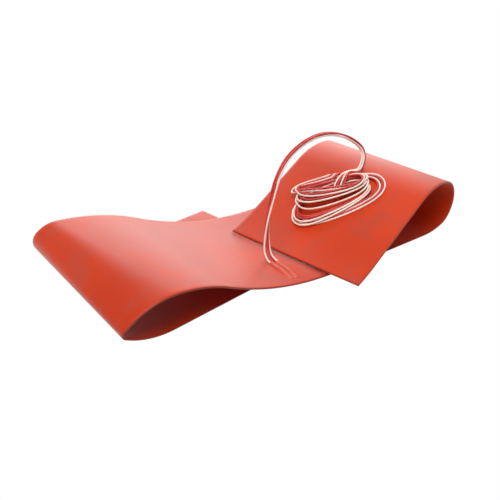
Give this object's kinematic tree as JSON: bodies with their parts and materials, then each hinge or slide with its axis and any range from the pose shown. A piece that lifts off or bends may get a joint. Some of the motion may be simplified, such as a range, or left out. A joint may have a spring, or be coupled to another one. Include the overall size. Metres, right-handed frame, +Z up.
{
  "type": "silicone heater pad",
  "caption": "Flexible silicone rubber heater pad, a long thin strip folded in an S, with foil element, moulded joint cover and coiled leads.",
  "frame": {"origin": "middle of the lower run's underside, on the surface that the pad lies on", "axes": "+Z up, away from the surface; +X along the strip's lower run, from the left curl to the right curl; +Y across the strip, to its far edge"},
  "size_m": [0.3717, 0.2166, 0.104],
  "materials": {
    "silicone_cover": "satin, fine glass-cloth weave",
    "silicone_base": "satin, fine glass-cloth weave",
    "resistance_foil": "rolled foil",
    "silicone_moulding": "satin, moulded",
    "sensor_ceramic": "glazed chip",
    "solder": "bright solder",
    "crimp_metal": "tinned",
    "white_insulation": "smooth silicone rubber",
    "red_insulation": "smooth silicone rubber",
    "coiled_insulation": "smooth silicone rubber"
  },
  "bodies": {
    "root": {"cover_sheet": "silicone_cover", "base_sheet": "silicone_base", "heating_element": "resistance_foil", "joint_cover": "silicone_moulding", "temperature_sensor": "sensor_ceramic", "solder_post_1": "solder", "solder_post_2": "solder", "lead_white_1": "white_insulation", "lead_white_2": "white_insulation", "lead_red_1": "red_insulation", "lead_red_2": "red_insulation", "lead_hank": "coiled_insulation", "ferrule_white_1": "crimp_metal", "ferrule_red_1": "crimp_metal", "ferrule_red_2": "crimp_metal", "ferrule_white_2": "crimp_metal"}
  },
  "joints": []
}
